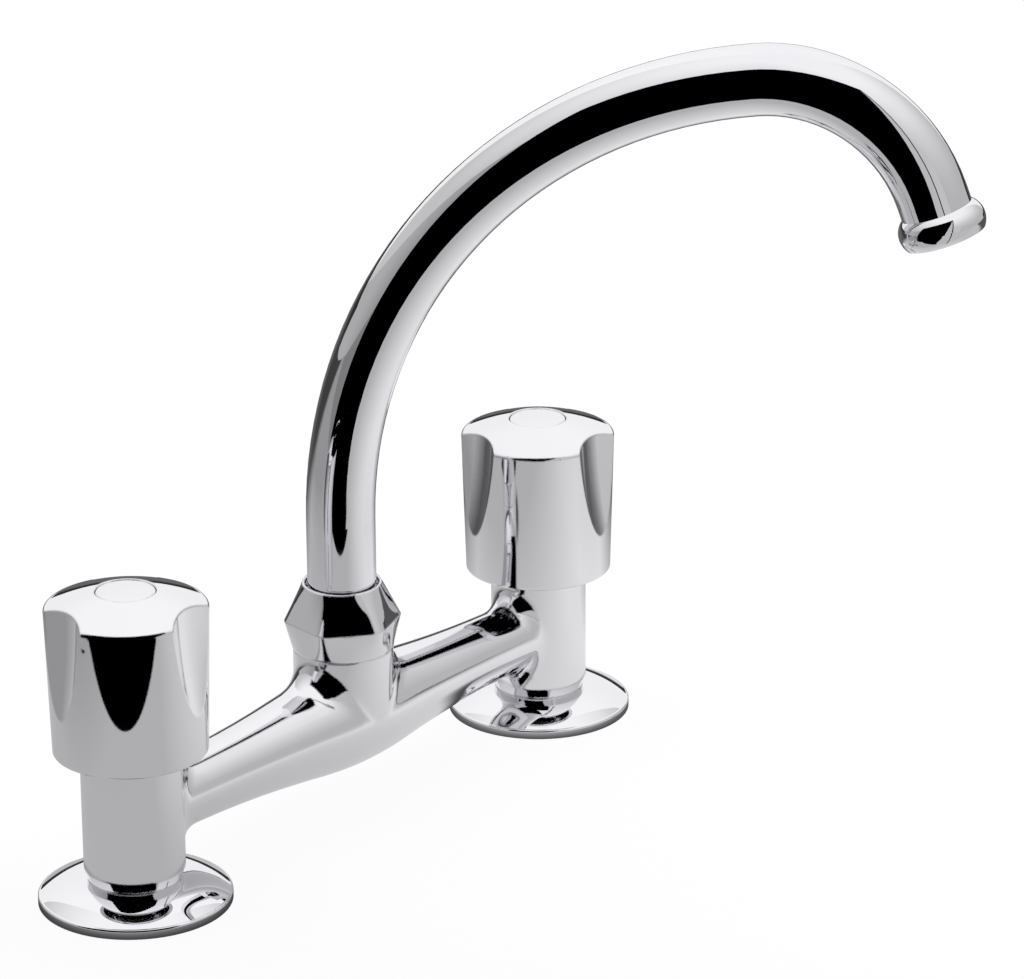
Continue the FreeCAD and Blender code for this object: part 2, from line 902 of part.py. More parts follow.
def nozzle():
    """Flared end collar with the aerator's socket, and the aerator set inside it."""
    tube = size("tube_radius")
    spigot = tube - size("tube_wall") - size("nozzle_spigot_gap")
    widest = size("nozzle_radius")
    level = size("nozzle_widest")
    length = size("nozzle_length")
    lip = size("nozzle_lip")
    shoulder = dome_radius(level, widest - tube)
    belly = dome_radius(length - level, widest - lip)
    socket = size("aerator_radius") + size("thread_gap")
    seat = size("aerator_seat")
    way = spigot - size("nozzle_wall")
    nozzle_ring(
        "nozzle_collar",
        [
            (way, -size("nozzle_spigot")),
            (spigot, -size("nozzle_spigot")),
            (spigot, 0.0),
            (tube, 0.0, shoulder),
            (widest, level, belly),
            (lip, length),
            (socket + size("edge_break"), length),
            (socket, length - size("edge_break")),
            (socket, seat),
            (way, seat),
        ],
    )
    washer_end = seat + size("aerator_washer")
    insert_end = length - size("aerator_inset")
    radius = size("aerator_radius")
    web = size("aerator_web")
    nozzle_ring("aerator_washer", ring_points(way, radius, seat, washer_end))
    inner = radius - size("aerator_wall")
    nozzle_ring(
        "aerator_insert",
        [
            (inner - web, washer_end),
            (radius, washer_end),
            (radius, insert_end),
            (inner, insert_end),
            (inner, washer_end + web),
            (inner - web, washer_end + web),
        ],
    )
    aerator_screen(inner, insert_end - size("screen_depth") - size("screen_thickness"))


def aerator_screen(radius, distance):
    """Perforated disc that breaks the water into drops, with its holes in hexagonal rings."""
    body = new_body("aerator_screen", turn=size("spout_turn"))
    sketch = flow_sketch(body, "aerator_screen_outline", distance)
    circle(sketch, radius)
    hole = size("screen_hole")
    circle(sketch, hole)
    for ring in range(1, SCREEN_RINGS + 1):
        pitch = size("screen_pitch") * ring
        for spoke in range(6 * ring):
            angle = 360.0 * spoke / (6 * ring)
            circle(sketch, hole, pitch * cos_of(angle), pitch * sin_of(angle))
    pad(body, "aerator_screen_plate", sketch, size("screen_thickness"))


def handle(side, x):
    """Fluted handle: a domed shell with a hub inside and three scooped flutes."""
    foot = size("handle_foot")
    rim = size("handle_rim")
    round_edge = size("handle_round")
    top_radius = size("handle_top_radius")
    recess = size("button_radius") + size("button_gap")
    recess_floor = size("handle_top") - size("button_recess")
    mouth = size("handle_foot_radius") - size("handle_wall")
    ceiling = size("handle_ceiling")
    # the scoop is turned about an upright line outside the handle
    scoop_floor = top_radius - size("flute_depth")
    scoop_axis = scoop_floor + size("flute_radius")
    scoop_foot = size("flute_foot") - size("flute_run_in")
    hub = size("hub_radius")
    bore = size("spline_radius") + size("running")
    screw_way = size("screw_radius") + size("part_line")
    head_way = size("screw_head_radius") + size("part_line")
    bore_end = size("spindle_top") + size("part_line")
    foot_round = size("handle_foot_round")
    crown_edge = size("crown_edge")
    body = turned(
        f"{side}_handle",
        [
            (mouth, foot),
            (size("handle_foot_radius") - foot_round, foot, foot_round),
            (size("handle_foot_radius"), foot + foot_round),
            (top_radius, rim - round_edge, round_edge),
            (top_radius - round_edge, rim, size("handle_curve")),
            (recess + crown_edge, size("handle_top")),
            (recess, size("handle_top") - crown_edge),
            (recess, recess_floor),
            (head_way, recess_floor),
            (head_way, screw_seat()),
            (screw_way, screw_seat()),
            (screw_way, bore_end),
            (bore, bore_end),
            (bore, size("hub_foot")),
            (hub, size("hub_foot")),
            (hub, ceiling),
            (scoop_floor - size("handle_ceiling_wall"), ceiling),
            (mouth, foot + size("handle_mouth_rise")),
        ],
        x=x,
        turn=size(f"{side}_handle_turn"),
    )
    taper = (top_radius - size("handle_foot_radius")) / (rim - foot)
    wall_at_foot = size("handle_foot_radius") + taper * (size("flute_foot") - foot)
    crown = size("handle_top")
    scoop = sketch_on(body, "XZ_Plane", f"{side}_flute_outline")
    axis_line = scoop.addGeometry(
        Part.LineSegment(
            Vector(scoop_axis.value, scoop_foot.value, 0), Vector(scoop_axis.value, crown.value, 0)
        ),
        True,
    )
    for end, height in ((1, scoop_foot), (2, crown)):
        dimension(scoop, "DistanceX", axis_line, end, scoop_axis)
        dimension(scoop, "DistanceY", axis_line, end, height)
    outline(
        scoop,
        [
            (wall_at_foot + size("flute_lead"), scoop_foot, -size("flute_curve")),
            (scoop_floor, crown),
            (scoop_axis, crown),
            (scoop_axis, scoop_foot),
        ],
    )
    cut = groove(body, f"{side}_flute", scoop, axis="Axis0")
    pattern(body, f"{side}_flutes", [cut], "Z_Axis", FLUTES)
    return body


def index_button(side, x):
    """Plain domed button in the handle's crown."""
    radius = size("button_radius")
    edge = size("crown_edge")
    low = size("handle_top") - size("button_recess") + size("part_line")
    high = size("handle_top") - size("part_line")
    crown = size("button_crown")
    rise = radius - edge
    turned(
        f"{side}_index_button",
        [
            (0.0, low),
            (radius, low),
            (radius, high - edge),
            (rise, high, dome_radius(rise, crown)),
            (edge, high + crown),
            (0.0, high + crown),
        ],
        x=x,
    )


def screw_seat():
    """Height of the shoulder that the handle screw's head pulls down on."""
    return size("handle_top") - size("button_recess") - size("screw_head_height") - size("part_line")


def handle_screw(side, x):
    """Socket-head screw that holds the handle on its spindle."""
    seat = screw_seat()
    head = size("screw_head_radius")
    body = turned(
        f"{side}_handle_screw",
        [
            (0.0, seat - size("screw_length")),
            (size("screw_radius"), seat - size("screw_length")),
            (size("screw_radius"), seat),
            (head, seat),
            (head, seat + size("screw_head_height")),
            (0.0, seat + size("screw_head_height")),
        ],
        x=x,
    )
    socket = sketch_on(
        body,
        "XY_Plane",
        f"{side}_screw_socket_outline",
        at=(0.0, 0.0, seat + size("screw_head_height")),
    )
    outline(socket, polygon(size("screw_socket_radius"), 6))
    pocket(body, f"{side}_screw_socket", socket, size("screw_head_height") / 2, upward=False)


def bonnet(side, x):
    """Headwork body: threaded into the leg, with a hexagon to tighten it and a neck above."""
    thread = size("thread_radius")
    hex_foot = size("leg_top") + size("fibre_thickness")
    hex_top = hex_foot + size("hex_height")
    thread_foot = size("leg_top") - size("bonnet_thread_depth") + size("part_line")
    nose = size("chamber_radius") - size("part_line") * 2
    spindle_way = size("spindle_radius") + size("running")
    collar_way = size("spindle_collar_radius") + size("running")
    body = turned(
        f"{side}_bonnet",
        [
            (0.0, size("bonnet_foot")),
            (nose, size("bonnet_foot")),
            (nose, thread_foot),
            (thread, thread_foot),
            (thread, hex_foot),
            (size("guide_radius"), hex_foot),
            (size("guide_radius"), size("guide_top") - size("edge_break")),
            (size("guide_radius") - size("edge_break"), size("guide_top")),
            (0.0, size("guide_top")),
        ],
        x=x,
    )
    corner = size("hex_flats") / (cos_of(30.0) * 2)
    hexagon = sketch_on(body, "XY_Plane", f"{side}_bonnet_hex_outline", at=(0.0, 0.0, hex_foot))
    outline(hexagon, polygon(corner, 6))
    pad(body, f"{side}_bonnet_hex", hexagon, size("hex_height"))
    chamfer_ring(body, f"{side}_bonnet_hex", corner, hex_top, 1)
    bore = sketch_on(body, "XZ_Plane", f"{side}_bonnet_bore_outline")
    outline(
        bore,
        [
            (0.0, size("plunger_slot_top")),
            (collar_way, size("plunger_slot_top")),
            (collar_way, size("collar_slot_top")),
            (spindle_way, size("collar_slot_top")),
            (spindle_way, size("guide_top")),
            (0.0, size("guide_top")),
        ],
    )
    groove(body, f"{side}_bonnet_bore", bore)
    slot = sketch_on(
        body, "XY_Plane", f"{side}_bonnet_slot_outline", at=(0.0, 0.0, size("bonnet_foot"))
    )
    slot_flats = size("plunger_flats") + size("running") * 2
    outline(slot, polygon(slot_flats / (cos_of(30.0) * 2), 6))
    slot_depth = size("plunger_slot_top") - size("bonnet_foot")
    pocket(body, f"{side}_bonnet_slot", slot, slot_depth)


def bonnet_washer(side, x):
    """Fibre washer between the bonnet's hexagon and the top of the leg."""
    low = size("leg_top")
    inner = size("thread_radius") + size("part_line")
    outer = size("leg_radius") - size("edge_break")
    turned(f"{side}_bonnet_washer", ring_points(inner, outer, low, low + size("fibre_thickness")), x=x)


def spindle(side, x):
    """Valve spindle: thread below, thrust collar, ring grooves and the handle's splines on top."""
    shaft = size("spindle_radius")
    collar = size("spindle_collar_radius")
    collar_foot = size("plunger_slot_top") + size("part_line")
    collar_top = size("collar_slot_top") - size("running")
    top = size("spindle_top")
    spline = size("spline_radius")
    clip_foot = clip_height() - size("thread_gap")
    clip_top = clip_height() + size("circlip_thickness") + size("thread_gap")
    ring = ring_seat()
    edge = size("edge_break")
    half = size("spindle_ring_section") + size("running")
    ring_floor = spindle_ring_centre() - size("spindle_ring_section") - size("thread_gap")
    hole = size("screw_radius") + size("thread_gap")
    hole_floor = screw_seat() - size("screw_length") - edge
    body = turned(
        f"{side}_spindle",
        [
            (0.0, size("spindle_foot")),
            (size("spindle_thread") - edge, size("spindle_foot")),
            (size("spindle_thread"), size("spindle_foot") + edge),
            (size("spindle_thread"), collar_foot),
            (collar, collar_foot),
            (collar, collar_top),
            (shaft, collar_top),
            (shaft, ring - half),
            (ring_floor, ring - half),
            (ring_floor, ring + half),
            (shaft, ring + half),
            (shaft, clip_foot),
            (clip_floor(), clip_foot),
            (clip_floor(), clip_top),
            (spline, clip_top),
            (spline, top - edge),
            (spline - edge, top),
            (hole, top),
            (hole, hole_floor),
            (0.0, hole_floor),
        ],
        x=x,
    )
    gap = sketch_on(body, "XY_Plane", f"{side}_spline_outline", at=(0.0, 0.0, top))
    deep = spline - size("spline_depth")
    half_gap = size("spline_depth")
    tip = spline + size("running")
    outline(gap, [(deep, 0.0), (tip, -half_gap), (tip, half_gap)])
    cut = pocket(body, f"{side}_spline_gap", gap, top - clip_top - edge, upward=False)
    pattern(body, f"{side}_splines", [cut], "Z_Axis", SPLINE_TEETH)


def clip_height():
    """Underside of the circlip, just above the bonnet's neck."""
    return size("guide_top") + size("part_line")


def clip_floor():
    """Radius at the bottom of the circlip's groove."""
    return size("spindle_radius") - size("circlip_bite")


def ring_seat():
    """Height of the sealing ring on the spindle."""
    return size("guide_top") - size("guide_radius")


def spindle_ring_centre():
    """Centre-line radius of the sealing ring on the spindle."""
    bore = size("spindle_radius") + size("running")
    return bore - size("ring_squeeze") - size("spindle_ring_section")


def spindle_ring(side, x):
    """Rubber sealing ring round the spindle."""
    name = f"{side}_spindle_ring"
    parts.append(torus(name, spindle_ring_centre(), size("spindle_ring_section"), ring_seat(), x))


def circlip(side, x):
    """Open spring clip that keeps the spindle down in its bonnet."""
    body = new_body(f"{side}_circlip", x=x)
    sketch = sketch_on(body, "XY_Plane", f"{side}_circlip_outline", at=(0.0, 0.0, clip_height()))
    inner = clip_floor() + size("thread_gap")
    outer = size("circlip_radius")
    opening = size("circlip_opening")
    near = (inner * cos_of(opening), inner * sin_of(opening))
    far = (outer * cos_of(opening), outer * sin_of(opening))
    outline(
        sketch,
        [
            near,
            (far[0], far[1], outer),
            (0.0 - outer, 0.0, outer),
            (far[0], -far[1]),
            (near[0], -near[1], -inner),
            (0.0 - inner, 0.0, -inner),
        ],
    )
    pad(body, f"{side}_circlip_ring", sketch, size("circlip_thickness"))


def plunger(side, x):
    """Hexagonal plunger that slides in the bonnet as the spindle's thread turns in it."""
    low = size("seat_height") + size("seat_washer_thickness")
    hole = size("washer_screw_radius") / 2 + size("thread_gap")
    hole_top = low + size("washer_screw_grip") + size("edge_break")
    body = turned(
        f"{side}_plunger",
        ring_points(hole, size("plunger_disc_radius"), low, low + size("plunger_disc")),
        x=x,
    )
    corner = size("plunger_flats") / (cos_of(30.0) * 2)
    hexagon = sketch_on(
        body,
        "XY_Plane",
        f"{side}_plunger_hex_outline",
        at=(0.0, 0.0, low + size("plunger_disc")),
    )
    outline(hexagon, polygon(corner, 6))
    circle(hexagon, hole)
    stem = size("plunger_top") - low - size("plunger_disc")
    pad(body, f"{side}_plunger_hex", hexagon, stem)
    thread = sketch_on(body, "XZ_Plane", f"{side}_plunger_thread_outline")
    way = size("spindle_thread") + size("running")
    outline(thread, ring_points(0.0, way, hole_top, size("plunger_top")))
    groove(body, f"{side}_plunger_thread", thread)


def seat_washer(side, x):
    """Rubber washer that the plunger presses on the seat."""
    low = size("seat_height")
    hole = size("washer_screw_radius") / 2 + size("part_line")
    turned(
        f"{side}_seat_washer",
        ring_points(hole, size("seat_washer_radius"), low, low + size("seat_washer_thickness")),
        x=x,
    )


def washer_screw(side, x):
    """Brass screw that holds the washer on the plunger."""
    head = size("washer_screw_radius")
    shank = head / 2
    edge = size("edge_break")
    low = size("seat_height")
    foot = low - size("washer_screw_head")
    end = low + size("seat_washer_thickness") + size("washer_screw_grip")
    turned(
        f"{side}_washer_screw",
        [
            (0.0, foot),
            (head - edge, foot),
            (head, foot + edge),
            (head, low),
            (shank, low),
            (shank, end),
            (0.0, end),
        ],
        x=x,
    )


bridge_body()
for side, share in SIDES:
    x = size("centres") * share
    flange(side, x)
    flange_seal(side, x)
    supply_tail(side, x)
    clamping_set(side, x)
    bonnet(side, x)
    bonnet_washer(side, x)
    spindle(side, x)
    spindle_ring(side, x)
    circlip(side, x)
    handle(side, x)
    index_button(side, x)
    handle_screw(side, x)
    plunger(side, x)
    seat_washer(side, x)
    washer_screw(side, x)
spout_nut()
spout_tube()
spout_spigot()
spout_rings()
slip_ring()
nozzle()

doc.recompute()
for item in doc.Objects:
    if "Invalid" in item.State or "Error" in item.State:
        raise RuntimeError(f"{item.Label} did not rebuild: {item.State}")
for part in parts:
    if part.Shape.isNull() or not part.Shape.isValid() or not part.Shape.Solids:
        raise RuntimeError(f"{part.Label} has no valid solid")
os.makedirs("parts", exist_ok=True)
for part in parts:
    part.Shape.exportStep(f"parts/{part.Label}.step")
    print(part.Label, len(part.Shape.Solids), round(part.Shape.Volume, 1))
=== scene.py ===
"""Looks for a deck-mounted bridge tap: finishes, threads and fine parts, studio and camera.

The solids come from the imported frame. This script dresses each of them, replaces the two supply
tails with threaded ones, and lights the tap as a polished product shot. Sizes are in metres and
angles in degrees, unless a line says otherwise.
"""

from __future__ import annotations

import json
import logging
import math
from dataclasses import dataclass, replace
from enum import Enum
from typing import Iterable, Sequence

import bpy
from mathutils import Matrix, Vector

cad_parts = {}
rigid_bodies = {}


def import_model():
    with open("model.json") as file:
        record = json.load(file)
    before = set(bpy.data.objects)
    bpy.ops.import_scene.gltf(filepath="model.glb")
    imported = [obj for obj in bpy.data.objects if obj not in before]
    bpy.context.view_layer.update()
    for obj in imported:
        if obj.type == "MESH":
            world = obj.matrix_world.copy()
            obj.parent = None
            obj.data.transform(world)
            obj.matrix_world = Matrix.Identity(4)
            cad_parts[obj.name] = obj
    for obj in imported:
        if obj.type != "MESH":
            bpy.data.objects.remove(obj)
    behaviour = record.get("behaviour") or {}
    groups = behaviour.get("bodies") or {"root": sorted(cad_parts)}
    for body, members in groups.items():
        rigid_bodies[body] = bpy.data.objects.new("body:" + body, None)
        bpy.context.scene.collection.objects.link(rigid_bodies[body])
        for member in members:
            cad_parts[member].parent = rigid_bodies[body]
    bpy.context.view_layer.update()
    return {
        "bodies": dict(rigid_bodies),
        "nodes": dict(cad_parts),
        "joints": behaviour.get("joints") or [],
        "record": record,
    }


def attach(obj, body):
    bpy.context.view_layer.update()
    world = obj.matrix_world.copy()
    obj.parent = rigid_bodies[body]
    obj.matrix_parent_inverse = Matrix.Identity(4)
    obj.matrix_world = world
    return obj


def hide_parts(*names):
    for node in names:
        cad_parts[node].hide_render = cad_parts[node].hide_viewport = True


log = logging.getLogger("bridge_tap")

Triple = tuple[float, float, float]
Span = tuple[float, float]

MM = 0.001
MICRON = 0.000001
TURN = 2.0 * math.pi
UP = Vector((0.0, 0.0, 1.0))
WHITE = (1.0, 1.0, 1.0, 1.0)
PAPER = (0.8, 0.8, 0.81, 1.0)

# Values that most of a noise pattern lies between, for roughness and for colour.
WEAR_MIDDLE = (0.3, 0.7)
TINT_MIDDLE = (0.35, 0.65)
BEVEL_SAMPLES = 6

# Flat facets along each curved screen and each piece of ground.
SCREEN_STEPS = 24
GROUND_STEPS = 12


def spaced(span: Span, steps: int) -> list[float]:
    """Evenly spaced values from one end of a span to the other."""
    return [span[0] + (span[1] - span[0]) * step / steps for step in range(steps + 1)]


class Side(Enum):
    """The two supply sides, with the place of each leg along X."""

    HOT = ("hot", -0.1)
    COLD = ("cold", 0.1)

    @property
    def label(self) -> str:
        """Name of the side, as the nodes carry it."""
        return self.value[0]

    @property
    def x(self) -> float:
        """Place of the leg's axis along X."""
        return self.value[1]

    def node(self, name: str) -> str:
        """Full node name of a piece on this side."""
        return f"{self.label}_{name}"


# ---------------------------------------------------------------- materials


class NodeTree:
    """A short way to add and join the shader nodes of a material or a world."""

    def __init__(self, owner: bpy.types.ID) -> None:
        """Start with no nodes.

        Args:
            owner: the material or world that the nodes belong to.
        """
        self.owner = owner
        owner.use_nodes = True
        self.tree = owner.node_tree
        self.tree.nodes.clear()

    def add(self, kind: str, **settings: object) -> bpy.types.Node:
        """Add a node.

        Args:
            kind: Blender's node type.
            settings: node properties, or input values when the name is an input of the node.

        Returns:
            The new node.
        """
        node = self.tree.nodes.new(kind)
        for name, value in settings.items():
            if hasattr(node, name):
                setattr(node, name, value)
            else:
                node.inputs[name.replace("_", " ").title()].default_value = value
        return node

    def join(self, source: bpy.types.NodeSocket, target: bpy.types.NodeSocket) -> None:
        """Link an output to an input."""
        self.tree.links.new(source, target)

    def combine(
        self, operation: str, first: bpy.types.NodeSocket, second: bpy.types.NodeSocket
    ) -> bpy.types.NodeSocket:
        """Work out one value from two.

        Args:
            operation: Blender's name for the sum.
            first: the first value.
            second: the second value.

        Returns:
            The result.
        """
        node = self.add("ShaderNodeMath", operation=operation)
        self.join(first, node.inputs[0])
        self.join(second, node.inputs[1])
        return node.outputs["Value"]

    def spread(
        self, value: bpy.types.NodeSocket, source: Span, result: Span, curve: str = "LINEAR"
    ) -> bpy.types.NodeSocket:
        """Carry a value from one range over to another.

        Args:
            value: the value.
            source: the two ends of its range, beyond which it no longer counts.
            result: what it becomes at these two ends.
            curve: Blender's name for the way between them.

        Returns:
            The new value.
        """
        node = self.add("ShaderNodeMapRange", interpolation_type=curve)
        limits = zip(("From Min", "From Max", "To Min", "To Max"), (*source, *result))
        for name, limit in limits:
            node.inputs[name].default_value = limit
        self.join(value, node.inputs["Value"])
        return node.outputs["Result"]

    def tint(
        self, value: bpy.types.NodeSocket, dark: Triple, bright: Triple
    ) -> bpy.types.NodeSocket:
        """Colour a pattern between two tints.

        Args:
            value: a pattern between 0 and 1.
            dark: colour where the pattern is dark.
            bright: colour where the pattern is bright.

        Returns:
            The colour.
        """
        node = self.add("ShaderNodeValToRGB")
        for stop, place, colour in zip(node.color_ramp.elements, TINT_MIDDLE, (dark, bright)):
            stop.position = place
            stop.color = (*colour, 1.0)
        self.join(value, node.inputs["Fac"])
        return node.outputs["Color"]

    def mix(
        self,
        share: bpy.types.NodeSocket,
        first: bpy.types.NodeSocket,
        second: bpy.types.NodeSocket,
    ) -> bpy.types.NodeSocket:
        """Blend two shaders.

        Args:
            share: how much of the second one shows.
            first: the shader at a share of 0.
            second: the shader at a share of 1.

        Returns:
            The blended shader.
        """
        node = self.add("ShaderNodeMixShader")
        self.join(share, node.inputs["Fac"])
        self.join(first, node.inputs[1])
        self.join(second, node.inputs[2])
        return node.outputs["Shader"]

    def output(
        self, shader: bpy.types.NodeSocket, kind: str = "ShaderNodeOutputMaterial"
    ) -> bpy.types.ID:
        """Send a shader to the surface.

        Args:
            shader: the shader's output socket.
            kind: Blender's type of output node.

        Returns:
            The finished material or world.
        """
        self.join(shader, self.add(kind).inputs["Surface"])
        return self.owner


@dataclass(frozen=True)
class Noise:
    """A noise pattern in object space.

    Attributes:
        scale: grains per metre.
        detail: octaves of finer grain.
        stretch: how much the pattern is drawn out along each axis.
    """

    scale: float
    detail: float = 3.0
    stretch: Triple = (1.0, 1.0, 1.0)

    def build(self, tree: NodeTree) -> bpy.types.NodeSocket:
        """Add the pattern to a material.

        Args:
            tree: the material's nodes.

        Returns:
            The pattern's value, from 0 to 1.
        """
        place = tree.add("ShaderNodeTexCoord")
        mapping = tree.add("ShaderNodeMapping")
        mapping.inputs["Scale"].default_value = self.stretch
        noise = tree.add("ShaderNodeTexNoise", scale=self.scale, detail=self.detail)
        tree.join(place.outputs["Object"], mapping.inputs["Vector"])
        tree.join(mapping.outputs["Vector"], noise.inputs["Vector"])
        return noise.outputs["Fac"]


@dataclass(frozen=True)
class Finish:
    """One surface finish, made from noise-driven colour, roughness and bump.

    Attributes:
        name: name of the material.
        dark: colour in the pattern's dark parts.
        bright: colour in the pattern's bright parts.
        metallic: 1 for bare or plated metal.
        smooth: roughness in the smoothest spots.
        rough: roughness in the roughest spots.
        tint: pattern that drives the colour.
        wear: pattern that drives the roughness.
        grain: pattern of the fine relief.
        depth: height of the relief.
        soften: radius to which polishing has rounded the edges.
    """

    name: str
    dark: Triple
    bright: Triple
    metallic: float
    smooth: float
    rough: float
    tint: Noise
    wear: Noise
    grain: Noise
    depth: float
    soften: float = 0.0

    def build(self) -> bpy.types.Material:
        """Make the material.

        Returns:
            The material, ready to assign.
        """
        tree = NodeTree(bpy.data.materials.new(self.name))
        shader = tree.add("ShaderNodeBsdfPrincipled")
        shader.inputs["Metallic"].default_value = self.metallic
        colour = tree.tint(self.tint.build(tree), self.dark, self.bright)
        tree.join(colour, shader.inputs["Base Color"])
        roughness = tree.spread(self.wear.build(tree), WEAR_MIDDLE, (self.smooth, self.rough))
        tree.join(roughness, shader.inputs["Roughness"])
        bump = tree.add("ShaderNodeBump")
        bump.inputs["Distance"].default_value = self.depth
        tree.join(self.grain.build(tree), bump.inputs["Height"])
        if self.soften:
            edges = tree.add("ShaderNodeBevel", samples=BEVEL_SAMPLES, radius=self.soften)
            tree.join(edges.outputs["Normal"], bump.inputs["Normal"])
        tree.join(bump.outputs["Normal"], shader.inputs["Normal"])
        return tree.output(shader.outputs["BSDF"])


POLISHED = Finish(
    name="polished_chrome",
    dark=(0.805, 0.80, 0.828),
    bright=(0.835, 0.83, 0.855),
    metallic=1.0,
    smooth=0.012,
    rough=0.035,
    tint=Noise(18.0),
    wear=Noise(55.0, detail=4.0),
    grain=Noise(32.0, detail=1.0),
    depth=4.0 * MICRON,
)


class Finishes(Enum):
    """Every finish on the tap."""

    CHROME = POLISHED
    SOFT_CHROME = replace(POLISHED, name="soft_edged_chrome", soften=1.1 * MM)
    CAST_CHROME = Finish(
        name="cast_chrome",
        dark=(0.795, 0.79, 0.818),
        bright=(0.835, 0.83, 0.855),
        metallic=1.0,
        smooth=0.014,
        rough=0.045,
        tint=Noise(22.0),
        wear=Noise(60.0, detail=5.0),
        grain=Noise(26.0, detail=2.0),
        depth=8.0 * MICRON,
        soften=1.2 * MM,
    )
    BRASS = Finish(
        name="turned_brass",
        dark=(0.60, 0.44, 0.20),
        bright=(0.74, 0.57, 0.28),
        metallic=1.0,
        smooth=0.20,
        rough=0.36,
        tint=Noise(40.0, detail=4.0),
        wear=Noise(120.0, detail=5.0),
        grain=Noise(900.0, detail=2.0, stretch=(0.2, 0.2, 6.0)),
        depth=12.0 * MICRON,
    )
    ZINC = Finish(
        name="zinc_plate",
        dark=(0.52, 0.53, 0.55),
        bright=(0.68, 0.69, 0.70),
        metallic=1.0,
        smooth=0.24,
        rough=0.42,
        tint=Noise(70.0, detail=4.0),
        wear=Noise(160.0, detail=4.0),
        grain=Noise(700.0, detail=3.0),
        depth=10.0 * MICRON,
    )
    RUBBER = Finish(
        name="seal_rubber",
        dark=(0.018, 0.018, 0.019),
        bright=(0.035, 0.035, 0.036),
        metallic=0.0,
        smooth=0.55,
        rough=0.78,
        tint=Noise(90.0, detail=4.0),
        wear=Noise(200.0, detail=4.0),
        grain=Noise(1400.0, detail=3.0),
        depth=15.0 * MICRON,
    )
    FIBRE = Finish(
        name="pressed_fibre",
        dark=(0.24, 0.055, 0.03),
        bright=(0.40, 0.10, 0.06),
        metallic=0.0,
        smooth=0.62,
        rough=0.85,
        tint=Noise(500.0, detail=5.0),
        wear=Noise(300.0, detail=4.0),
        grain=Noise(1500.0, detail=4.0),
        depth=30.0 * MICRON,
    )
    WHITE_PLASTIC = Finish(
        name="acetal_white",
        dark=(0.74, 0.74, 0.72),
        bright=(0.80, 0.80, 0.78),
        metallic=0.0,
        smooth=0.34,
        rough=0.48,
        tint=Noise(60.0, detail=3.0),
        wear=Noise(120.0, detail=3.0),
        grain=Noise(800.0, detail=2.0),
        depth=6.0 * MICRON,
    )
    GREY_PLASTIC = Finish(
        name="screen_grey",
        dark=(0.42, 0.43, 0.45),
        bright=(0.50, 0.51, 0.53),
        metallic=0.0,
        smooth=0.32,
        rough=0.46,
        tint=Noise(80.0, detail=3.0),
        wear=Noise(140.0, detail=3.0),
        grain=Noise(900.0, detail=2.0),
        depth=6.0 * MICRON,
    )


class Palette:
    """Builds each finish once and hands it out."""

    def __init__(self) -> None:
        """Start with no materials made."""
        self.made: dict[Finishes, bpy.types.Material] = {}

    def get(self, finish: Finishes) -> bpy.types.Material:
        """Material of a finish.

        Args:
            finish: the finish wanted.

        Returns:
            The material, made on first use.
        """
        if finish not in self.made:
            self.made[finish] = finish.value.build()
        return self.made[finish]


# ---------------------------------------------------------------- sub-assemblies


@dataclass
class SubAssembly:
    """A group of pieces that is dressed together.

    Attributes:
        frame: the loaded frame.
        palette: the finishes.
    """

    frame: dict
    palette: Palette

    def dress(self, names: Iterable[str], finish: Finishes) -> None:
        """Give solids a finish.

        Args:
            names: node names.
            finish: the finish they take.
        """
        for name in names:
            solid = self.frame["nodes"][name]
            solid.data.materials.clear()
            solid.data.materials.append(self.palette.get(finish))
            log.info("dressed %s in %s", name, finish.value.name)


@dataclass
class Bridge(SubAssembly):
    """The casting and the nut over its neck."""

    def build(self) -> None:
        """Dress the casting and the nut."""
        self.dress(["bridge_body"], Finishes.CAST_CHROME)
        self.dress(["spout_nut"], Finishes.SOFT_CHROME)


@dataclass
class Spout(SubAssembly):
    """Swan-neck tube, its nozzle and the seals at its foot."""

    def build(self) -> None:
        """Dress the spout's pieces."""
        self.dress(["spout_tube", "nozzle_collar"], Finishes.CHROME)
        self.dress(["spout_spigot"], Finishes.BRASS)
        self.dress(["spout_o_rings", "aerator_washer"], Finishes.RUBBER)
        self.dress(["spout_slip_ring", "aerator_insert"], Finishes.WHITE_PLASTIC)
        self.dress(["aerator_screen"], Finishes.GREY_PLASTIC)


def tube_faces(rings: int, columns: int) -> list[tuple[int, ...]]:
    """Quads between rings of points, the last ring joined to the first.

    Args:
        rings: how many rings there are.
        columns: points in each ring.

    Returns:
        The faces, as indices into the points.
    """
    faces = []
    for ring in range(rings):
        here = ring * columns
        above = (ring + 1) % rings * columns
        for column in range(columns):
            after = (column + 1) % columns
            faces.append((here + column, here + after, above + after, above + column))
    return faces


